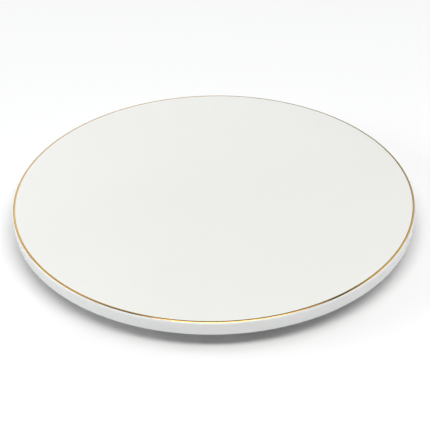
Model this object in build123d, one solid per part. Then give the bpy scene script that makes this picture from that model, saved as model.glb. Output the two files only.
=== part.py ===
from build123d import *
import os
from math import cos, radians, sin

# Lazy susan turntable: a porcelain platter with a gilded edge, turning on a
# stamped-steel ball bearing that is screwed to a ribbed plastic base.
# Millimetres. The origin is on the spin axis, on the surface under the feet, and +Z is up.

# ---- driving dimensions ----
OVERALL_DIAMETER = 355.6        # 14 in platter
OVERALL_HEIGHT = 28.0
RIM_HEIGHT = 13.0               # depth of the platter's outer wall
SLAB = 6.0                      # thickness of the porcelain under the serving surface
RIM_WALL = 6.0                  # thickness of the outer wall
RIM_TAPER = 0.8                 # the outer wall leans in by this much towards its foot
RIM_UPRIGHT = 4.0               # the wall is upright over this depth, and leans in below it
RIM_DRAFT = 1.0                 # the wall's inner face leans out by this much towards its foot
EDGE_ROUND = 2.3                # rounding between the serving surface and the wall
FOOT_ROUND = 1.6                # rounding of the wall's lower edges
RIM_HOLLOW = 4.0                # rounding where the wall meets the underside
FOOT_RING_R = 104.0             # middle of the inner foot ring
FOOT_RING_WIDTH = 5.0
FOOT_RING_DEPTH = 4.5
FOOT_RING_ROUND = 1.2
FOOT_RING_HOLLOW = 2.5          # rounding where the foot ring meets the underside

GOLD_THICKNESS = 0.2
GOLD_INNER_MARGIN = 0.5         # how far the gold runs in over the flat top
GOLD_END_ANGLE = 35.0           # how far it runs down the rounding, degrees from vertical

BASE_R = 115.0
BASE_BOTTOM = 2.0               # gap between the table and the base's skirt
BASE_WALL = 2.5
BASE_DECK = 2.5
BASE_TOP_ROUND = 2.0
BASE_EDGE_ROUND = 0.6
RIB = 1.6
RIB_SETBACK = 1.0               # the ribs and the collar stop this far above the skirt's edge
RIB_COUNT = 24
RIB_RING_RADII = (53.0, 84.0)
CENTRE_HOLE_R = 20.0

BEARING_BOTTOM = 9.5
BEARING_HEIGHT = 8.0            # over both plates
SHEET = 1.0                     # steel sheet
PLATE_R = 70.0
RACE_R = 50.0
RACE_SHOULDER = 3.0             # from the race's middle to the end of its sloping side
RACE_FLARE = 6.5                # from the race's middle to the start of the flat flange
RACE_BEND = 0.9                 # bends of the sheet on either side of the race
BALL_R = 2.5
BALL_COUNT = 16
BALL_GAP = 0.12                 # between a ball and each race
POCKET_GAP = 0.1                # between a ball and its pocket in the retainer
RETAINER_INNER_R = 44.5
RETAINER_OUTER_R = 55.5
RETAINER_THICKNESS = 0.8

PIVOT_R = 8.0                   # outer radius of the tubular rivet
PIVOT_WALL = 1.2
PIVOT_GAP = 0.05                # running clearance in the upper plate and the washer
PIVOT_HEAD_R = 11.5
PIVOT_LIP_ROUND = 0.9
PIVOT_HEAD_ROUND = 0.5
WASHER_R = 13.0
WASHER_THICKNESS = 0.8

CARRIER_R = 95.0
CARRIER_THICKNESS = 3.5
CARRIER_ROUND = 0.8
PAD_COUNT = 6
PAD_R = 11.0
PAD_CIRCLE_R = 80.0
PAD_START = 30.0                # the first pad's angle from +X, degrees

SCREW_CIRCLE_R = 64.0
SCREW_COUNT = 4
SCREW_R = 1.5
SCREW_HEAD_R = 3.3
SCREW_HEAD_HEIGHT = 2.0
SCREW_HEAD_ROUND = 1.2
SCREW_POINT = 0.7
SCREW_HOLE_R = 2.0
SCREW_BOSS_WALL = 2.5
RECESS_LENGTH = 3.6             # cross recess in the screw's head
RECESS_WIDTH = 0.8
RECESS_DEPTH = 1.0
UPPER_SCREW_REACH = 3.0         # thread in the carrier
LOWER_SCREW_REACH = 5.0         # thread in the base

ACCESS_HOLE_R = 5.5
ACCESS_BOSS_WALL = 3.0
PLUG_LIP = 2.0                  # how far the plug's head stands out past its stem
PLUG_HEAD = 1.0
PLUG_HEAD_ROUND = 0.5
PLUG_SHORTFALL = 1.0            # the plug's stem stops this far below the deck's top

FOOT_COUNT = 6
FOOT_R = 7.0
FOOT_CIRCLE_R = 99.0
FOOT_HEIGHT = 3.0
FOOT_EDGE_ROUND = 0.8
FOOT_STEM_R = 2.5
FOOT_STEM_LENGTH = 2.5
FOOT_BOSS_WALL = 2.0

# ---- worked out from them ----
PLATTER_R = OVERALL_DIAMETER / 2
RIM_BOTTOM = OVERALL_HEIGHT - RIM_HEIGHT
SLAB_BOTTOM = OVERALL_HEIGHT - SLAB
BASE_TOP = BEARING_BOTTOM
BEARING_TOP = BEARING_BOTTOM + BEARING_HEIGHT
BALL_Z = (BEARING_BOTTOM + BEARING_TOP) / 2
CARRIER_TOP = BEARING_TOP + CARRIER_THICKNESS
DECK_BOTTOM = BASE_TOP - BASE_DECK
RIB_BOTTOM = BASE_BOTTOM + RIB_SETBACK
PLUG_SEAT = RIB_BOTTOM + PLUG_HEAD / 2      # where the plug's head meets the boss
LOWER_SCREW_ANGLE = 180.0 / SCREW_COUNT     # the lower screws sit between the upper ones


def ring(outer_r, inner_r, bottom, top):
    """Flat ring between two heights; a disc when inner_r is 0."""
    face = Circle(outer_r)
    if inner_r > 0:
        face -= Circle(inner_r)
    return Pos(0, 0, bottom) * extrude(face, top - bottom)


def around(count, radius, start=0.0):
    """Places spaced evenly on a circle about the spin axis."""
    angles = [start + 360.0 * i / count for i in range(count)]
    return [Pos(radius * cos(radians(a)), radius * sin(radians(a)), 0) * Rot(0, 0, a) for a in angles]


def turned(profile):
    """Solid of revolution about the spin axis; the profile's x is the radius and its y the height."""
    return revolve(Plane.XZ * profile, axis=Axis.Z)


def rounded(profile, corners):
    """Round the profile's corners, given as (radius from the axis, height, rounding)."""
    for x, y, rounding in corners:
        profile = fillet(profile.vertices().sort_by_distance((x, y))[0], rounding)
    return profile


# ---- platter ----
def platter_outline():
    """Section of the porcelain with its edge still plain: flat top, tapered wall and inner foot ring."""
    foot_r = PLATTER_R - RIM_TAPER
    wall_r = foot_r - RIM_WALL
    ring_out = FOOT_RING_R + FOOT_RING_WIDTH / 2
    ring_in = FOOT_RING_R - FOOT_RING_WIDTH / 2
    ring_bottom = SLAB_BOTTOM - FOOT_RING_DEPTH
    outline = [
        (0, OVERALL_HEIGHT),
        (PLATTER_R, OVERALL_HEIGHT),
        (PLATTER_R, OVERALL_HEIGHT - RIM_UPRIGHT),
        (foot_r, RIM_BOTTOM),
        (wall_r + RIM_DRAFT, RIM_BOTTOM),
        (wall_r, SLAB_BOTTOM),
        (ring_out, SLAB_BOTTOM),
        (ring_out, ring_bottom),
        (ring_in, ring_bottom),
        (ring_in, SLAB_BOTTOM),
        (0, SLAB_BOTTOM),
    ]
    corners = [
        (PLATTER_R, OVERALL_HEIGHT, EDGE_ROUND),
        (foot_r, RIM_BOTTOM, FOOT_ROUND),
        (wall_r + RIM_DRAFT, RIM_BOTTOM, FOOT_ROUND),
        (wall_r, SLAB_BOTTOM, RIM_HOLLOW),
        (ring_out, SLAB_BOTTOM, FOOT_RING_HOLLOW),
        (ring_out, ring_bottom, FOOT_RING_ROUND),
        (ring_in, ring_bottom, FOOT_RING_ROUND),
        (ring_in, SLAB_BOTTOM, FOOT_RING_HOLLOW),
    ]
    return rounded(make_face(Polyline(outline, close=True)), corners)


def gold_outline():
    """Section of the gilding: from just inside the rounding, over it, to part-way down."""
    x = PLATTER_R - EDGE_ROUND
    z = OVERALL_HEIGHT - EDGE_ROUND
    start = x - GOLD_INNER_MARGIN
    under = OVERALL_HEIGHT - GOLD_THICKNESS
    outer = CenterArc((x, z), EDGE_ROUND, 90 - GOLD_END_ANGLE, GOLD_END_ANGLE)
    inner = CenterArc((x, z), EDGE_ROUND - GOLD_THICKNESS, 90 - GOLD_END_ANGLE, GOLD_END_ANGLE)
    edges = [
        outer,
        Line((x, OVERALL_HEIGHT), (start, OVERALL_HEIGHT)),
        Line((start, OVERALL_HEIGHT), (start, under)),
        Line((start, under), (x, under)),
        inner,
        Line(inner @ 0, outer @ 0),
    ]
    return make_face(edges)


def porcelain_platter():
    """The platter, hollow underneath, with the shallow seat that the gilding fills."""
    return turned(platter_outline() - gold_outline())


def gold_rim_band():
    return turned(gold_outline())


def bond_pads():
    """Silicone pads that bond the carrier to the porcelain's underside."""
    pad = Pos(0, 0, CARRIER_TOP) * extrude(Circle(PAD_R), SLAB_BOTTOM - CARRIER_TOP)
    return [place * pad for place in around(PAD_COUNT, PAD_CIRCLE_R, PAD_START)]


# ---- bearing ----
def race_midline(flange_z, side):
    """Middle of the sheet: flange, race groove round the balls, and the flange again to the pivot.

    side is 1 for the upper plate and -1 for the lower one, which is its mirror image.
    """
    groove_r = BALL_R + BALL_GAP + SHEET / 2
    apex = BALL_Z + side * groove_r * 2 ** 0.5
    shoulder_z = apex - side * RACE_SHOULDER
    points = [
        (PLATE_R, flange_z),
        (RACE_R + RACE_FLARE, flange_z),
        (RACE_R + RACE_SHOULDER, shoulder_z),
        (RACE_R, apex),
        (RACE_R - RACE_SHOULDER, shoulder_z),
        (RACE_R - RACE_FLARE, flange_z),
        (PIVOT_R, flange_z),
    ]
    return FilletPolyline(points, radius=[RACE_BEND, RACE_BEND, groove_r, RACE_BEND, RACE_BEND])


def race_plate(flange_z, side, bore_r, screw_start):
    """Stamped plate with a race groove, a pivot bore and four screw holes."""
    plate = turned(trace(race_midline(flange_z, side), SHEET))
    plate -= ring(bore_r, 0, flange_z - SHEET, flange_z + SHEET)
    hole = Pos(0, 0, flange_z - SHEET) * extrude(Circle(SCREW_HOLE_R), 2 * SHEET)
    for place in around(SCREW_COUNT, SCREW_CIRCLE_R, screw_start):
        plate -= place * hole
    return plate


def upper_race_plate():
    return race_plate(BEARING_TOP - SHEET / 2, 1, PIVOT_R + PIVOT_GAP, 0.0)


def lower_race_plate():
    """Lower plate, with the hole that lets a screwdriver reach the upper screws."""
    flange_z = BEARING_BOTTOM + SHEET / 2
    plate = race_plate(flange_z, -1, PIVOT_R, LOWER_SCREW_ANGLE)
    return plate - Pos(SCREW_CIRCLE_R, 0, 0) * ring(ACCESS_HOLE_R, 0, flange_z - SHEET, flange_z + SHEET)


def ball_retainer():
    """Flat plastic ring that keeps the balls evenly spaced, one pocket for each."""
    half = RETAINER_THICKNESS / 2
    retainer = ring(RETAINER_OUTER_R, RETAINER_INNER_R, BALL_Z - half, BALL_Z + half)
    pocket = Pos(0, 0, BALL_Z - half) * extrude(Circle(BALL_R + POCKET_GAP), RETAINER_THICKNESS)
    for place in around(BALL_COUNT, RACE_R):
        retainer -= place * pocket
    return retainer


def bearing_balls():
    ball = Pos(0, 0, BALL_Z) * Sphere(BALL_R)
    return [place * ball for place in around(BALL_COUNT, RACE_R)]


def pivot_rivet():
    """Tubular rivet that holds the two plates together; its lower head is swaged under the lower plate."""
    bore_r = PIVOT_R - PIVOT_WALL
    head_bottom = BEARING_BOTTOM - PIVOT_WALL
    seat = BEARING_TOP + WASHER_THICKNESS + 2 * PIVOT_GAP
    head_top = seat + PIVOT_WALL
    outline = [
        (bore_r, head_bottom),
        (PIVOT_HEAD_R, head_bottom),
        (PIVOT_HEAD_R, BEARING_BOTTOM),
        (PIVOT_R, BEARING_BOTTOM),
        (PIVOT_R, seat),
        (PIVOT_HEAD_R, seat),
        (PIVOT_HEAD_R, head_top),
        (bore_r, head_top),
    ]
    corners = [
        (bore_r, head_bottom, PIVOT_LIP_ROUND),
        (bore_r, head_top, PIVOT_LIP_ROUND),
        (PIVOT_HEAD_R, head_bottom, PIVOT_HEAD_ROUND),
        (PIVOT_HEAD_R, head_top, PIVOT_HEAD_ROUND),
    ]
    return turned(rounded(make_face(Polyline(outline, close=True)), corners))


def thrust_washer():
    """Slippery washer between the upper plate and the rivet's head."""
    bottom = BEARING_TOP + PIVOT_GAP
    return ring(WASHER_R, PIVOT_R + PIVOT_GAP, bottom, bottom + WASHER_THICKNESS)


def pan_screw(reach):
    """Self-tapping pan-head screw pointing down, with its head's seat at z = 0 and a cross recess."""
    head = extrude(Circle(SCREW_HEAD_R), SCREW_HEAD_HEIGHT)
    head = fillet(head.edges().filter_by(GeomType.CIRCLE).sort_by(Axis.Z)[-1], SCREW_HEAD_ROUND)
    shank = Pos(0, 0, -SHEET - reach) * extrude(Circle(SCREW_R), SHEET + reach)
    shank = chamfer(shank.edges().filter_by(GeomType.CIRCLE).sort_by(Axis.Z)[0], SCREW_POINT)
    slot = Pos(0, 0, SCREW_HEAD_HEIGHT - RECESS_DEPTH / 2) * Box(RECESS_LENGTH, RECESS_WIDTH, RECESS_DEPTH)
    return head + shank - slot - Rot(0, 0, 90) * slot


def carrier_screws():
    """Screws that go up through the upper plate into the carrier."""
    screw = Pos(0, 0, BEARING_TOP - SHEET) * Rot(180, 0, 0) * pan_screw(UPPER_SCREW_REACH)
    return Compound([place * screw for place in around(SCREW_COUNT, SCREW_CIRCLE_R)])


def base_screws():
    """Screws that go down through the lower plate into the base."""
    screw = Pos(0, 0, BEARING_BOTTOM + SHEET) * pan_screw(LOWER_SCREW_REACH)
    return Compound([place * screw for place in around(SCREW_COUNT, SCREW_CIRCLE_R, LOWER_SCREW_ANGLE)])


# ---- carrier ----
def carrier_disc():
    """Moulded disc between the bearing and the porcelain, which can't be screwed into."""
    disc = ring(CARRIER_R, CENTRE_HOLE_R, BEARING_TOP, CARRIER_TOP)
    disc = fillet(disc.edges().filter_by(GeomType.CIRCLE).sort_by(SortBy.RADIUS)[-2:], CARRIER_ROUND)
    pilot = Pos(0, 0, BEARING_TOP) * extrude(Circle(SCREW_R), UPPER_SCREW_REACH)
    for place in around(SCREW_COUNT, SCREW_CIRCLE_R):
        disc -= place * pilot
    return disc


# ---- base ----
def base_walls():
    """Deck with a skirt at its rim and a collar round the centre hole, turned as one profile."""
    collar_r = CENTRE_HOLE_R + BASE_WALL
    skirt_r = BASE_R - BASE_WALL
    outline = [
        (CENTRE_HOLE_R, BASE_TOP),
        (BASE_R, BASE_TOP),
        (BASE_R, BASE_BOTTOM),
        (skirt_r, BASE_BOTTOM),
        (skirt_r, DECK_BOTTOM),
        (collar_r, DECK_BOTTOM),
        (collar_r, RIB_BOTTOM),
        (CENTRE_HOLE_R, RIB_BOTTOM),
    ]
    corners = [
        (BASE_R, BASE_TOP, BASE_TOP_ROUND),
        (BASE_R, BASE_BOTTOM, BASE_EDGE_ROUND),
        (CENTRE_HOLE_R, BASE_TOP, BASE_EDGE_ROUND),
    ]
    return turned(rounded(make_face(Polyline(outline, close=True)), corners))


def boss(outer_r, bottom):
    """Solid boss under the deck."""
    return ring(outer_r, 0, bottom, DECK_BOTTOM)


def base_ribs():
    """Radial ribs from the collar to the skirt, and ring ribs across them."""
    ribs = [ring(r + RIB / 2, r - RIB / 2, RIB_BOTTOM, DECK_BOTTOM) for r in RIB_RING_RADII]
    inner = CENTRE_HOLE_R + BASE_WALL / 2
    outer = BASE_R - BASE_WALL / 2
    depth = DECK_BOTTOM - RIB_BOTTOM
    rib = Pos((inner + outer) / 2, 0, RIB_BOTTOM + depth / 2) * Box(outer - inner, RIB, depth)
    return ribs + [place * rib for place in around(RIB_COUNT, 0.0, 180.0 / RIB_COUNT)]


def base_shell():
    """Round moulded base: walls, ribs, foot bosses, screw bosses and the access hole."""
    shell = base_walls()
    for rib in base_ribs():
        shell += rib
    for place in around(FOOT_COUNT, FOOT_CIRCLE_R):
        shell += place * boss(FOOT_R + FOOT_BOSS_WALL, BASE_BOTTOM)
        shell -= place * ring(FOOT_R, 0, BASE_BOTTOM, FOOT_HEIGHT)
        shell -= place * ring(FOOT_STEM_R, 0, FOOT_HEIGHT, FOOT_HEIGHT + FOOT_STEM_LENGTH)
    for place in around(SCREW_COUNT, SCREW_CIRCLE_R, LOWER_SCREW_ANGLE):
        shell += place * boss(SCREW_R + SCREW_BOSS_WALL, RIB_BOTTOM)
        shell -= place * ring(SCREW_R, 0, BASE_TOP - LOWER_SCREW_REACH, BASE_TOP)
    access = Pos(SCREW_CIRCLE_R, 0, 0)
    shell += access * boss(ACCESS_HOLE_R + ACCESS_BOSS_WALL, PLUG_SEAT)
    shell -= access * ring(ACCESS_HOLE_R, 0, RIB_BOTTOM, BASE_TOP)
    return shell


def access_plug():
    """Push-in plug that closes the access hole from below."""
    stem = ring(ACCESS_HOLE_R, 0, PLUG_SEAT, BASE_TOP - PLUG_SHORTFALL)
    head = ring(ACCESS_HOLE_R + PLUG_LIP, 0, PLUG_SEAT - PLUG_HEAD, PLUG_SEAT)
    head = fillet(head.edges().filter_by(GeomType.CIRCLE).sort_by(Axis.Z)[0], PLUG_HEAD_ROUND)
    return Pos(SCREW_CIRCLE_R, 0, 0) * (stem + head)


def feet():
    """Rubber feet, each a button with a stem pressed up into its boss."""
    button = extrude(Circle(FOOT_R), FOOT_HEIGHT)
    button = fillet(button.edges().filter_by(GeomType.CIRCLE).sort_by(Axis.Z)[0], FOOT_EDGE_ROUND)
    foot = button + ring(FOOT_STEM_R, 0, FOOT_HEIGHT, FOOT_HEIGHT + FOOT_STEM_LENGTH)
    return [place * foot for place in around(FOOT_COUNT, FOOT_CIRCLE_R)]


def main():
    single = {
        "porcelain_platter": porcelain_platter(),
        "gold_rim_band": gold_rim_band(),
        "carrier_disc": carrier_disc(),
        "carrier_screws": carrier_screws(),
        "upper_race_plate": upper_race_plate(),
        "lower_race_plate": lower_race_plate(),
        "ball_retainer": ball_retainer(),
        "pivot_rivet": pivot_rivet(),
        "thrust_washer": thrust_washer(),
        "base_shell": base_shell(),
        "base_screws": base_screws(),
        "access_plug": access_plug(),
    }
    repeated = {
        "bond_pad": bond_pads(),
        "bearing_ball": bearing_balls(),
        "rubber_foot": feet(),
    }
    os.makedirs("parts", exist_ok=True)
    for name, shape in single.items():
        export_step(shape, f"parts/{name}.step")
    for name, shapes in repeated.items():
        for number, shape in enumerate(shapes, start=1):
            export_step(shape, f"parts/{name}_{number:02d}.step")


main()
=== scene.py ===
import math

import bmesh
import bpy
from mathutils import Matrix, Vector, noise


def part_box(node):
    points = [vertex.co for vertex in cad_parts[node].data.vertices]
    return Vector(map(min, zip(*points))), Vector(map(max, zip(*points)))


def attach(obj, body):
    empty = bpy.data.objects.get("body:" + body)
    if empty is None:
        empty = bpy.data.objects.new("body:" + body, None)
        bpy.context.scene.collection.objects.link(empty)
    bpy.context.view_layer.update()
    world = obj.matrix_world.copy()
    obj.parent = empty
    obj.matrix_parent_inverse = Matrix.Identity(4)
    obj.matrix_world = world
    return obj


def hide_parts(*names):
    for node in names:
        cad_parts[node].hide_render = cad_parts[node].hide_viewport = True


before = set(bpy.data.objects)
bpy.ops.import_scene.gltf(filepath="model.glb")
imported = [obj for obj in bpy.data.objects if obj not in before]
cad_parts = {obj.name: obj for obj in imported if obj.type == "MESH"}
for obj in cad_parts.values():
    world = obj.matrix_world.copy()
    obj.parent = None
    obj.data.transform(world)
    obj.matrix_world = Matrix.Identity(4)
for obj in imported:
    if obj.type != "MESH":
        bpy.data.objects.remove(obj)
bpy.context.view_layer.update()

# Looks of a porcelain lazy susan with a gilded edge. Metres, +Z up, the spin axis through the origin
# and the table at z = 0. Places come from the frame's boxes. The roundings below are the part's own.
MM = 0.001
TAU = 2 * math.pi
DOWN = Vector((0, 0, -1))


def low(name, axis):
    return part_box(name)[0][axis]


def high(name, axis):
    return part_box(name)[1][axis]


# ---- sizes ----
PLATTER_TOP = high("porcelain_platter", 2)
PLATTER_BOTTOM = low("porcelain_platter", 2)
PLATTER_R = high("porcelain_platter", 0)
PLATTER_WAVER = 0.12 * MM       # how far the wall strays from round
SLAB_BOTTOM = high("bond_pad_01", 2)
EDGE_ROUND = 2.3 * MM           # where the top meets the wall
RIM_UPRIGHT = 4.0 * MM          # upper part of the wall, which stands straight
RIM_TAPER = 0.8 * MM            # how far the rest of the wall draws in
RIM_WALL = 6.0 * MM
FOOT_ROUND = 1.6 * MM           # rounding of the wall's lower edges
RING_OUTER = 106.5 * MM         # foot ring under the slab
RING_INNER = 101.5 * MM
RING_DEPTH = 4.5 * MM

GOLD_INNER = 0.5 * MM           # how far the gold runs in over the flat top
GOLD_END = math.radians(35)     # how far it runs down the rounding
GOLD_CROWN = 0.022 * MM         # how far its middle stands above its edges
GOLD_SINK = 0.12 * MM           # how far its hidden back reaches into the glaze
GOLD_WANDER = 0.05 * MM         # how far its edges stray
GOLD_OVERLAP = math.radians(128)        # where its two ends overlap
GOLD_OVERLAP_SPREAD = math.radians(1.6)

FOOT_COUNT = 6
FOOT_PAD = 3 * MM               # thickness of a foot under the base
FOOT_STEM_R = 2.5 * MM
FOOT_GROOVE = 0.35 * MM         # depth of the grip grooves in its sole

AXIS_RADIUS = 1e-7              # a section point nearer the axis than this is on it
ARC_STEPS = 10                  # chords in each rounding of a turned section
PLATTER_SEGMENTS = 540
GOLD_SEGMENTS = 1440
GOLD_ACROSS = 8                 # faces across the gold line
FOOT_SEGMENTS = 96


# ---- light and camera ----
WARM = (1.0, 0.995, 0.975)
COOL = (0.985, 0.992, 1.0)
ROOM_RADIANCE = 0.07            # of the room between the lamps and screens
CAMERA_ELEVATION = 34.223       # degrees, above the horizon
CAMERA_DISTANCE = 1.328         # metres, from the middle of the top
CAMERA_LENS = 125.51            # mm, on a 36 mm wide sensor
CAMERA_ROLL = -0.832            # degrees
AIM_BELOW = 0.7095              # degrees, under the middle of the top
AIM_ASIDE = 0.0377              # degrees, to its right


# ---- mesh helpers ----
def rounded_path(corners, longest):
    """Section through (radius, height, rounding) corners, with arcs for roundings and runs cut to length."""
    points = [Vector(corners[0][:2])]
    for before, here, after in zip(corners, corners[1:], corners[2:]):
        corner = Vector(here[:2])
        if here[2] == 0:
            points.append(corner)
            continue
        back = (Vector(before[:2]) - corner).normalized()
        ahead = (Vector(after[:2]) - corner).normalized()
        half = back.angle(ahead) / 2
        centre = corner + (back + ahead).normalized() * here[2] / math.sin(half)
        start = corner + back * here[2] / math.tan(half) - centre
        sweep = math.copysign(math.pi - 2 * half, ahead.cross(back))
        turns = [Matrix.Rotation(sweep * i / ARC_STEPS, 2) for i in range(ARC_STEPS + 1)]
        points += [centre + turn @ start for turn in turns]
    points.append(Vector(corners[-1][:2]))
    cut = [points[0]]
    for a, b in zip(points, points[1:]):
        pieces = max(1, math.ceil((b - a).length / longest))
        cut += [a.lerp(b, (i + 1) / pieces) for i in range(pieces)]
    return cut


def finish_mesh(name, bm, sharp_degrees=60):
    """Turns the bmesh into an object with outward normals, smooth but for its sharp edges."""
    bmesh.ops.recalc_face_normals(bm, faces=bm.faces)
    mesh = bpy.data.meshes.new(name)
    bm.to_mesh(mesh)
    bm.free()
    mesh.polygons.foreach_set("use_smooth", [True] * len(mesh.polygons))
    mesh.set_sharp_from_angle(angle=math.radians(sharp_degrees))
    piece = bpy.data.objects.new(name, mesh)
    bpy.context.scene.collection.objects.link(piece)
    return piece


def lathe(name, section, segments, centre=(0, 0)):
    """Turns a section of (radius, height) points about the vertical through centre."""
    bm = bmesh.new()
    rings = []
    angles = [TAU * i / segments for i in range(segments)]
    for radius, height in section:
        if radius < AXIS_RADIUS:
            rings.append([bm.verts.new((centre[0], centre[1], height))])
            continue
        rings.append([
            bm.verts.new((centre[0] + radius * math.cos(a), centre[1] + radius * math.sin(a), height))
            for a in angles
        ])
    for a, b in zip(rings, rings[1:]):
        for i in range(segments):
            j = (i + 1) % segments
            loop = [a[i % len(a)], a[j % len(a)], b[j % len(b)], b[i % len(b)]]
            bm.faces.new(list(dict.fromkeys(loop)))
    return finish_mesh(name, bm)


# ---- material helpers ----
def new_material(name):
    """A node material and its Principled shader."""
    material = bpy.data.materials.new(name)
    material.use_nodes = True
    return material, material.node_tree.nodes["Principled BSDF"]


def node(tree, kind, settings=None, **inputs):
    """Adds a node. Inputs given as sockets are linked, and others are set; _ stands for a space."""
    added = tree.nodes.new("ShaderNode" + kind)
    for key, value in (settings or {}).items():
        setattr(added, key, value)
    for key, value in inputs.items():
        socket = added.inputs[int(key[1:])] if key[1:].isdigit() else added.inputs[key.replace("_", " ")]
        if isinstance(value, bpy.types.NodeSocket):
            tree.links.new(value, socket)
        else:
            socket.default_value = value
    return added


def math_node(tree, operation, a, b=0.0):
    return node(tree, "Math", {"operation": operation}, i0=a, i1=b).outputs[0]


def place(tree):
    """Position in the piece's own frame, so that a texture turns with its piece."""
    return node(tree, "TexCoord").outputs["Object"]


def noise_node(tree, scale, detail=3.0, roughness=0.5, vector=None):
    """Noise of that many waves to the metre, unless another vector than the position is given."""
    where = vector or place(tree)
    noises = node(tree, "TexNoise", None, Vector=where, Scale=scale, Detail=detail, Roughness=roughness)
    return noises.outputs[0]


def remap(tree, value, low_in, high_in, low_out, high_out, smooth=False):
    """The value's place between low_in and high_in, as the same place between low_out and high_out."""
    kind = "SMOOTHSTEP" if smooth else "LINEAR"
    mapped = node(tree, "MapRange", {"interpolation_type": kind, "clamp": True}, Value=value)
    limits = {"From Min": low_in, "From Max": high_in, "To Min": low_out, "To Max": high_out}
    for name, number in limits.items():
        mapped.inputs[name].default_value = number
    return mapped.outputs[0]


def mix_colour(tree, factor, a, b):
    """Colour a where the factor is 0, and b where it is 1. Each may be a socket or plain numbers."""
    mixed = node(tree, "Mix", {"data_type": "RGBA"})
    for index, value in ((0, factor), (6, a), (7, b)):
        if isinstance(value, bpy.types.NodeSocket):
            tree.links.new(value, mixed.inputs[index])
        else:
            mixed.inputs[index].default_value = value if index == 0 else (*value, 1.0)
    return mixed.outputs[2]


def radius_and_height(tree):
    """Distance from the spin axis, and height, of the shaded point."""
    parts = node(tree, "SeparateXYZ", None, Vector=place(tree)).outputs
    squares = [math_node(tree, "MULTIPLY", parts[i], parts[i]) for i in (0, 1)]
    return math_node(tree, "SQRT", math_node(tree, "ADD", *squares)), parts[2]


def polar(tree, around_scale, out_scale, up_scale):
    """Position as (angle, radius, height), each scaled, for grain that runs round the axis."""
    parts = node(tree, "SeparateXYZ", None, Vector=place(tree)).outputs
    angle = math_node(tree, "ARCTAN2", parts[1], parts[0])
    radius, height = radius_and_height(tree)
    scaled = [math_node(tree, "MULTIPLY", value, scale)
              for value, scale in ((angle, around_scale), (radius, out_scale), (height, up_scale))]
    return node(tree, "CombineXYZ", None, i0=scaled[0], i1=scaled[1], i2=scaled[2]).outputs[0]


def link_base(tree, shader, colour, roughness):
    """Links a colour and a roughness that vary over the surface."""
    tree.links.new(colour, shader.inputs["Base Color"])
    tree.links.new(roughness, shader.inputs["Roughness"])


def bumped(tree, shader, *layers):
    """Stacks bumps on the shader. Each layer is (height, depth in metres)."""
    normal = None
    for height, depth in layers:
        bump = node(tree, "Bump", None, Strength=1.0, Distance=depth, Height=height)
        if normal is not None:
            tree.links.new(normal, bump.inputs["Normal"])
        normal = bump.outputs[0]
    tree.links.new(normal, shader.inputs["Normal"])


# ---- materials ----
def bare_porcelain(tree):
    """1 where the clay stands on its two rings and was wiped free of glaze, else 0."""
    radius, height = radius_and_height(tree)
    wander = remap(tree, noise_node(tree, 90, 2), 0.3, 0.7, -0.35 * MM, 0.35 * MM)
    level = math_node(tree, "ADD", height, wander)
    on_rim = remap(tree, level, PLATTER_BOTTOM + 0.75 * MM, PLATTER_BOTTOM + 0.95 * MM, 1, 0)
    ring_bottom = SLAB_BOTTOM - RING_DEPTH
    on_ring = remap(tree, level, ring_bottom + 0.65 * MM, ring_bottom + 0.85 * MM, 1, 0)
    inside = remap(tree, radius, RING_OUTER, RING_OUTER + 1 * MM, 1, 0)
    return math_node(tree, "MAXIMUM", on_rim, math_node(tree, "MULTIPLY", on_ring, inside))


def glaze_colour(tree):
    """White with a faint cloud, darker and cooler on the wall as painted shade, and a rare speck."""
    cloud = remap(tree, noise_node(tree, 9, 2), 0.3, 0.7, 0, 1)
    glaze = mix_colour(tree, cloud, (0.802, 0.807, 0.780), (0.814, 0.818, 0.792))
    # Painted shade: the wall gets a darker, cooler copy of the top's glaze, standing in for the weaker light
    # that falls on it.
    wall_shade_glaze = mix_colour(tree, cloud, (0.754, 0.763, 0.760), (0.768, 0.777, 0.773))
    height = radius_and_height(tree)[1]
    painted_wall_shade = remap(tree, height, PLATTER_TOP - EDGE_ROUND, PLATTER_TOP - 0.5 * MM, 1, 0, smooth=True)
    glaze = mix_colour(tree, painted_wall_shade, glaze, wall_shade_glaze)
    cells = node(tree, "TexVoronoi", None, Vector=place(tree), Scale=42.0)
    lot = node(tree, "SeparateColor", None, Color=cells.outputs["Color"]).outputs[0]
    rare = math_node(tree, "GREATER_THAN", lot, 0.965)
    spot = remap(tree, cells.outputs["Distance"], 0.006, 0.014, 0.35, 0)
    return mix_colour(tree, math_node(tree, "MULTIPLY", spot, rare), glaze, (0.36, 0.33, 0.27))


def porcelain():
    """White glaze, and bare biscuit on the two foot rings."""
    material, shader = new_material("glazed_porcelain")
    tree = material.node_tree
    bare = bare_porcelain(tree)
    grit = noise_node(tree, 1600, 3)
    biscuit = mix_colour(tree, grit, (0.62, 0.59, 0.53), (0.74, 0.72, 0.67))
    colour = mix_colour(tree, bare, glaze_colour(tree), biscuit)
    link_base(tree, shader, colour, remap(tree, bare, 0, 1, 0.09, 0.85))
    shader.inputs["Specular IOR Level"].default_value = 0.5
    shader.inputs["Subsurface Weight"].default_value = 0.12
    shader.inputs["Subsurface Radius"].default_value = (3.0 * MM, 2.6 * MM, 2.2 * MM)
    shader.inputs["Subsurface Scale"].default_value = 1.0

    swell = noise_node(tree, 22, 2)
    peel = noise_node(tree, 260, 2)
    grain = math_node(tree, "MULTIPLY", grit, bare)
    step = math_node(tree, "MULTIPLY", bare, -1.0)
    bumped(tree, shader, (swell, 0.10 * MM), (peel, 0.006 * MM), (step, 0.06 * MM), (grain, 0.08 * MM))
    return material


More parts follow.
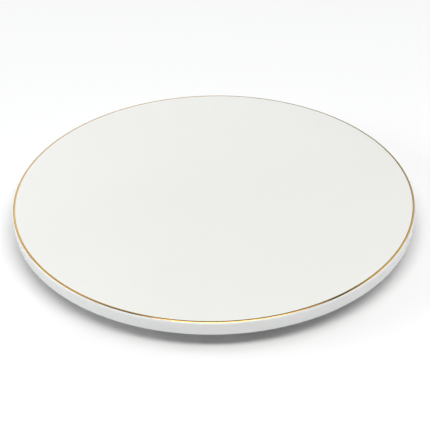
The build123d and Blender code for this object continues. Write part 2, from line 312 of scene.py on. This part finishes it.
def gold_lustre():
    """Burnished fired gold: fine polishing lines round the edge and slightly thin patches."""
    material, shader = new_material("gold_lustre")
    tree = material.node_tree
    lines = noise_node(tree, 1.0, 3, vector=polar(tree, 40, 9000, 9000))
    patches = noise_node(tree, 60, 3)
    worn = remap(tree, patches, 0.35, 0.7, 0, 1)
    tone = mix_colour(tree, worn, (0.87, 0.535, 0.155), (0.82, 0.485, 0.125))
    link_base(tree, shader, tone, remap(tree, lines, 0.3, 0.7, 0.07, 0.13))
    shader.inputs["Metallic"].default_value = 1.0
    shader.inputs["Specular Tint"].default_value = (0.50, 0.76, 1.0, 1.0)
    bumped(tree, shader, (lines, 0.004 * MM), (patches, 0.02 * MM))
    return material


def moulded_plastic(name, dark, light, roughness, texture):
    """Spark-textured moulding with faint flow marks and dust in its texture."""
    material, shader = new_material(name)
    tree = material.node_tree
    flow = noise_node(tree, 35, 3)
    fine = noise_node(tree, 2600, 2, 0.6)
    dusty = remap(tree, noise_node(tree, 120, 4, 0.65), 0.55, 0.75, 0, 0.5)
    dust = math_node(tree, "MULTIPLY", dusty, fine)
    tone = mix_colour(tree, remap(tree, flow, 0.3, 0.7, 0, 1), dark, light)
    greyed = tuple(min(1.0, value + 0.06) for value in light)
    uneven = remap(tree, fine, 0.3, 0.7, roughness - 0.08, roughness + 0.08)
    link_base(tree, shader, mix_colour(tree, dust, tone, greyed), uneven)
    bumped(tree, shader, (fine, texture), (flow, 0.02 * MM))
    return material


def foot_rubber():
    """Matt rubber, dusty where it stands, with a fine grain."""
    material, shader = new_material("foot_rubber")
    tree = material.node_tree
    grain = noise_node(tree, 1800, 3, 0.6)
    dust = remap(tree, noise_node(tree, 300, 4, 0.6), 0.45, 0.7, 0, 0.7)
    colour = mix_colour(tree, dust, (0.028, 0.028, 0.029), (0.075, 0.073, 0.070))
    link_base(tree, shader, colour, remap(tree, grain, 0.3, 0.7, 0.62, 0.85))
    shader.inputs["Specular IOR Level"].default_value = 0.35
    bumped(tree, shader, (grain, 0.03 * MM))
    return material


def silicone():
    """Milky silicone with tiny bubbles."""
    material, shader = new_material("silicone")
    tree = material.node_tree
    bubbles = node(tree, "TexVoronoi", None, Vector=place(tree), Scale=900.0).outputs["Distance"]
    cloud = noise_node(tree, 200, 2)
    colour = mix_colour(tree, cloud, (0.70, 0.71, 0.70), (0.80, 0.81, 0.80))
    link_base(tree, shader, colour, remap(tree, cloud, 0.3, 0.7, 0.28, 0.42))
    shader.inputs["Subsurface Weight"].default_value = 0.3
    shader.inputs["Subsurface Scale"].default_value = 1.5 * MM
    bumped(tree, shader, (bubbles, 0.03 * MM))
    return material


def plated_steel(name, grain_vector, tint=(0.62, 0.64, 0.66), roughness=0.28):
    """Zinc-plated steel: grain along grain_vector, spangle and faint straw and blue passivation."""
    material, shader = new_material(name)
    tree = material.node_tree
    grain = noise_node(tree, 1.0, 3, 0.6, grain_vector(tree))
    film = noise_node(tree, 45, 2)
    spangle = node(tree, "TexVoronoi", None, Vector=place(tree), Scale=700.0).outputs["Color"]
    flake = node(tree, "SeparateColor", None, Color=spangle).outputs[0]
    straw = tuple(a * b for a, b in zip(tint, (1.06, 1.01, 0.90)))
    blue = tuple(a * b for a, b in zip(tint, (0.95, 1.00, 1.07)))
    tone = mix_colour(tree, remap(tree, film, 0.35, 0.65, 0, 1), straw, blue)
    shade = remap(tree, flake, 0, 1, 0.92, 1.0)
    tone = node(tree, "VectorMath", {"operation": "SCALE"}, i0=tone, Scale=shade).outputs[0]
    link_base(tree, shader, tone, remap(tree, grain, 0.3, 0.7, roughness - 0.07, roughness + 0.1))
    shader.inputs["Metallic"].default_value = 1.0
    bumped(tree, shader, (grain, 0.010 * MM), (flake, 0.002 * MM))
    return material


def straight_grain(tree):
    """Rolling lines of the sheet, all along X."""
    return node(tree, "Mapping", None, Vector=place(tree), Scale=(30, 2500, 2500)).outputs[0]


def turned_grain(tree):
    """Lines that run round the spin axis."""
    return polar(tree, 6, 2500, 2500)


def ball_steel():
    """Polished bearing steel under a film of grease."""
    material, shader = new_material("ball_steel")
    tree = material.node_tree
    film = noise_node(tree, 500, 3)
    colour = mix_colour(tree, film, (0.62, 0.62, 0.61), (0.74, 0.74, 0.74))
    link_base(tree, shader, colour, remap(tree, film, 0.35, 0.7, 0.05, 0.22))
    shader.inputs["Metallic"].default_value = 1.0
    bumped(tree, shader, (film, 0.004 * MM))
    return material


def floor_paper():
    """Plain pale sweep with a barely visible tooth."""
    material, shader = new_material("studio_paper")
    tree = material.node_tree
    tooth = noise_node(tree, 700, 3)
    colour = mix_colour(tree, tooth, (0.920, 0.924, 0.933), (0.935, 0.939, 0.948))
    link_base(tree, shader, colour, remap(tree, tooth, 0.3, 0.7, 0.75, 0.9))
    shader.inputs["Specular IOR Level"].default_value = 0.2
    bumped(tree, shader, (tooth, 0.01 * MM))
    return material


# ---- pieces ----
def wear(piece, material, slot, body, *nodes):
    """Gives a mesh piece its material and body, and hides the CAD nodes that it stands for. The slot
    argument is not used.
    """
    piece.data.materials.append(material)
    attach(piece, body)
    if nodes:
        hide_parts(*nodes)
    return piece


def platter_section():
    """Section of the porcelain from the middle of the top, round the rim, to the middle underneath."""
    foot_r = PLATTER_R - RIM_TAPER
    wall_r = foot_r - RIM_WALL
    ring_bottom = SLAB_BOTTOM - RING_DEPTH
    corners = [
        (0, PLATTER_TOP, 0),
        (PLATTER_R, PLATTER_TOP, EDGE_ROUND),
        (PLATTER_R, PLATTER_TOP - RIM_UPRIGHT, 0),
        (foot_r, PLATTER_BOTTOM, FOOT_ROUND),
        (wall_r + 1.0 * MM, PLATTER_BOTTOM, FOOT_ROUND),
        (wall_r, SLAB_BOTTOM, 4.0 * MM),
        (RING_OUTER, SLAB_BOTTOM, 2.5 * MM),
        (RING_OUTER, ring_bottom, 1.2 * MM),
        (RING_INNER, ring_bottom, 1.2 * MM),
        (RING_INNER, SLAB_BOTTOM, 2.5 * MM),
        (0, SLAB_BOTTOM, 0),
    ]
    return rounded_path(corners, 6 * MM)


def platter(material):
    """The porcelain, with the slight waver that firing leaves in a thin wall and a wide top."""
    piece = lathe("platter_glazed", platter_section(), PLATTER_SEGMENTS)
    for vertex in piece.data.vertices:
        spot = vertex.co
        if spot.z < SLAB_BOTTOM:
            out = Vector((spot.x, spot.y, 0)).normalized()
            waver = noise.noise(Vector((out.x * 2.2, out.y * 2.2, 3.0)))
            depth = min(1.0, (SLAB_BOTTOM - spot.z) / (SLAB_BOTTOM - PLATTER_BOTTOM))
            vertex.co += out * waver * depth * PLATTER_WAVER
    return wear(piece, material, "porcelain", "turntable", "porcelain_platter")


def gold_point(out, along, lift):
    """Point on the platter's edge: along is measured over it from where its rounding starts."""
    turn = max(0.0, along) / EDGE_ROUND
    radius = PLATTER_R - EDGE_ROUND + min(0.0, along) + (EDGE_ROUND + lift) * math.sin(turn)
    height = PLATTER_TOP - EDGE_ROUND + (EDGE_ROUND + lift) * math.cos(turn)
    return out * radius + Vector((0, 0, height))


def gold_ring(bm, angle):
    """Section of the gold line at an angle: over its crowned face, then back through the glaze."""
    out = Vector((math.cos(angle), math.sin(angle), 0))
    near_overlap = math.exp(-((angle - GOLD_OVERLAP) / GOLD_OVERLAP_SPREAD) ** 2)
    drift = noise.noise(out * 5) + 0.5 * noise.noise(out * 23)
    inner = -GOLD_INNER + GOLD_WANDER * drift - 0.08 * MM * near_overlap
    drift = noise.noise(out * 6 + DOWN * 9)
    outer = GOLD_END * EDGE_ROUND + GOLD_WANDER * drift + 0.06 * MM * near_overlap
    ring = []
    for k in range(GOLD_ACROSS + 1):
        share = k / GOLD_ACROSS
        crown = GOLD_CROWN * (math.sin(math.pi * share) ** 0.6) * (1 + 0.3 * near_overlap)
        spot = gold_point(out, inner + (outer - inner) * share, crown - 0.005 * MM)
        ring.append(bm.verts.new(spot))
    for along in (outer, inner):
        ring.append(bm.verts.new(gold_point(out, along, -GOLD_SINK)))
    return ring


def gold_band(material):
    """The gold line: laid by brush on a spinning wheel, so its edges wander and its ends overlap."""
    bm = bmesh.new()
    rings = [gold_ring(bm, TAU * i / GOLD_SEGMENTS) for i in range(GOLD_SEGMENTS)]
    for a, b in zip(rings, rings[1:] + rings[:1]):
        for k in range(len(a)):
            n = (k + 1) % len(a)
            bm.faces.new((a[k], a[n], b[n], b[k]))
    piece = finish_mesh("gold_line", bm, 75)
    return wear(piece, material, "gold_lustre", "turntable", "gold_rim_band")


def foot(number, material):
    """Rubber foot with two grip grooves in its sole and a stem up into the base."""
    name = f"rubber_foot_{number:02d}"
    lowest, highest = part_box(name)
    middle = (lowest + highest) / 2
    radius = (highest.x - lowest.x) / 2
    sole = lowest.z
    corners = [(0, sole + FOOT_GROOVE, 0)]
    for centre in (0.28, 0.62):
        corners += [
            (radius * (centre - 0.05), sole + FOOT_GROOVE * (centre < 0.5), 0.1 * MM),
            (radius * centre, sole + FOOT_GROOVE * 1.6, 0.1 * MM),
            (radius * (centre + 0.08), sole, 0.1 * MM),
        ]
    corners += [
        (radius, sole, 0.8 * MM),
        (radius, sole + FOOT_PAD, 0.15 * MM),
        (FOOT_STEM_R, sole + FOOT_PAD, 0.2 * MM),
        (FOOT_STEM_R, highest.z, 0.5 * MM),
        (0, highest.z, 0),
    ]
    section = rounded_path(corners, 1 * MM)
    piece = lathe(f"foot_{number:02d}", section, FOOT_SEGMENTS, (middle.x, middle.y))
    return wear(piece, material, "foot_rubber", "base", name)


def dress(node_name, material):
    """A CAD node whose shape is right keeps it, and gets the material."""
    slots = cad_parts[node_name].data.materials
    slots.clear()
    slots.append(material)


def moulded_parts():
    """Each plastic node with its material: dark tone, light tone, roughness and depth of texture."""
    kinds = {
        "carrier_disc": ("carrier_plastic", (0.020, 0.020, 0.022), (0.028, 0.028, 0.030), 0.5, 0.02),
        "base_shell": ("base_plastic", (0.018, 0.018, 0.020), (0.026, 0.026, 0.028), 0.46, 0.025),
        "access_plug": ("plug_plastic", (0.030, 0.030, 0.032), (0.038, 0.038, 0.040), 0.35, 0.006),
        "thrust_washer": ("washer_nylon", (0.74, 0.72, 0.65), (0.79, 0.77, 0.71), 0.42, 0.004),
        "ball_retainer": ("retainer_plastic", (0.72, 0.71, 0.66), (0.78, 0.77, 0.72), 0.40, 0.004),
    }
    for name, (title, dark, light, roughness, texture) in kinds.items():
        dress(name, moulded_plastic(title, dark, light, roughness, texture * MM))


def dress_cad_nodes():
    moulded_parts()
    dress("pivot_rivet", plated_steel("rivet_steel", turned_grain, (0.60, 0.60, 0.61), 0.30))
    plates = plated_steel("zinc_plated_steel", straight_grain)
    screws = plated_steel("screw_steel", straight_grain, (0.64, 0.64, 0.63), 0.33)
    for name in ("upper_race_plate", "lower_race_plate"):
        dress(name, plates)
    for name in ("carrier_screws", "base_screws"):
        dress(name, screws)
    balls = ball_steel()
    pads = silicone()
    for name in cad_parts:
        if name.startswith("bearing_ball"):
            dress(name, balls)
        if name.startswith("bond_pad"):
            dress(name, pads)


# ---- studio ----
def aimed(thing, spot, target, roll=0.0):
    """Places a light or camera at spot, looking at target, turned by roll about its line of sight."""
    look = (Vector(target) - Vector(spot)).to_track_quat("-Z", "Y").to_matrix().to_4x4()
    thing.matrix_world = Matrix.Translation(spot) @ look @ Matrix.Rotation(roll, 4, "Z")


def area_light(name, spot, target, width, depth, radiance, colour):
    """Rectangular softbox, stated by how bright its face is."""
    data = bpy.data.lights.new(name, "AREA")
    data.shape = "RECTANGLE"
    data.size = width
    data.size_y = depth
    data.energy = radiance * math.pi * width * depth
    data.color = colour
    light = bpy.data.objects.new(name, data)
    bpy.context.scene.collection.objects.link(light)
    aimed(light, spot, target)


def band(tree, value, start, full, fading, end):
    """1 between full and fading, and falling smoothly to 0 at start and end."""
    rise = remap(tree, value, start, full, 0.0, 1.0, smooth=True)
    fall = remap(tree, value, fading, end, 1.0, 0.0, smooth=True)
    return math_node(tree, "MULTIPLY", rise, fall)


def screen(tree, bearing, height, radiance, bearings, heights):
    """Soft-edged bright patch of sky. Bearings are in degrees from behind the object, clockwise."""
    across = band(tree, bearing, *map(math.radians, bearings))
    span = math_node(tree, "MULTIPLY", across, band(tree, height, *heights))
    return math_node(tree, "MULTIPLY", span, radiance)


def studio_world():
    """Dim room, paler low down and palest on the horizon behind, with three bright screens there."""
    world = bpy.data.worlds.new("studio")
    bpy.context.scene.world = world
    world.use_nodes = True
    tree = world.node_tree
    parts = node(tree, "SeparateXYZ", None, Vector=node(tree, "TexCoord").outputs["Generated"]).outputs
    bearing = math_node(tree, "ARCTAN2", parts[0], parts[1])
    height = parts[2]
    horizon = math_node(tree, "MULTIPLY", remap(tree, height, 0.48, 0.60, 0.85, 0.0, smooth=True),
                        remap(tree, parts[1], -0.1, 0.5, 0.2, 1.0, smooth=True))
    behind = band(tree, bearing, *map(math.radians, (-60, -22, -2, 14)))
    horizon = math_node(tree, "MULTIPLY", horizon, behind)
    dimmer = remap(tree, height, 0.25, 0.45, 0.55, 1.0, smooth=True)
    horizon = math_node(tree, "MULTIPLY", horizon, dimmer)
    glow = math_node(tree, "MULTIPLY", remap(tree, height, 0.42, 0.56, 0.40, 0.0, smooth=True),
                     remap(tree, parts[1], -0.1, 0.5, 0.3, 1.0, smooth=True))
    total = math_node(tree, "ADD", math_node(tree, "MAXIMUM", horizon, glow), ROOM_RADIANCE)
    screens = (
        (0.44, (-110, -80, -16, 2), (0.40, 0.56, 0.82, 0.88)),
        (0.42, (-40, -20, -12, 3), (0.48, 0.58, 0.78, 0.86)),
        (0.74, (9.5, 16, 80, 110), (0.40, 0.5, 0.74, 0.80)),
    )
    for radiance, bearings, heights in screens:
        patch = screen(tree, bearing, height, radiance, bearings, heights)
        total = math_node(tree, "ADD", total, patch)
    background = tree.nodes["Background"]
    background.inputs["Color"].default_value = (*COOL, 1.0)
    tree.links.new(total, background.inputs["Strength"])


def softboxes():
    """Two softboxes overhead, one on each side, and a small strip on each side in front."""
    centre = (0.0, 0.0, 0.0)
    area_light("overhead_softbox", (0.42, 0.02, 4.0), (0.42, 0.02, 0.0), 3.0, 2.5, 1.5, WARM)
    area_light("front_softbox", (0.2, -1.87, 4.0), (0.2, -1.87, 0.0), 4.8, 1.2, 8.0, WARM)
    area_light("left_softbox", (-3.34, 0.0, 1.35), centre, 2.1, 1.4, 3.8, COOL)
    area_light("right_softbox", (3.34, 0.0, 1.35), centre, 2.1, 1.4, 1.1, COOL)
    area_light("left_strip", (-1.1, -1.7, 0.5), centre, 0.2, 0.4, 1.8, COOL)
    area_light("right_strip", (1.1, -1.7, 0.5), centre, 0.2, 0.4, 1.8, COOL)


def floor():
    """Pale sweep, a hair under the soles so that the two never share a plane."""
    half = 12.0
    mesh = bpy.data.meshes.new("floor")
    level = -0.05 * MM
    corners = [(-half, -half, level), (half, -half, level), (half, half, level), (-half, half, level)]
    mesh.from_pydata(corners, [], [(0, 1, 2, 3)])
    piece = bpy.data.objects.new("floor", mesh)
    bpy.context.scene.collection.objects.link(piece)
    piece.data.materials.append(floor_paper())


def camera():
    """Looks down at the platter from in front, a long way off, with a very slight roll."""
    elevation = math.radians(CAMERA_ELEVATION)
    middle = Vector((0, 0, PLATTER_TOP))
    spot = middle + CAMERA_DISTANCE * Vector((0, -math.cos(elevation), math.sin(elevation)))
    data = bpy.data.cameras.new("camera")
    data.sensor_width = 36.0
    data.lens = CAMERA_LENS
    data.clip_start = 0.01
    piece = bpy.data.objects.new("camera", data)
    bpy.context.scene.collection.objects.link(piece)
    below = CAMERA_DISTANCE * math.tan(math.radians(AIM_BELOW))
    aside = CAMERA_DISTANCE * math.tan(math.radians(AIM_ASIDE))
    down = Vector((0, -math.sin(elevation), -math.cos(elevation)))
    aimed(piece, spot, middle + down * below + Vector((aside, 0, 0)), math.radians(CAMERA_ROLL))
    bpy.context.scene.camera = piece


def main():
    platter(porcelain())
    gold_band(gold_lustre())
    rubber = foot_rubber()
    for number in range(1, FOOT_COUNT + 1):
        foot(number, rubber)
    dress_cad_nodes()
    floor()
    studio_world()
    softboxes()
    camera()
    bpy.context.scene.view_settings.view_transform = "Standard"


main()
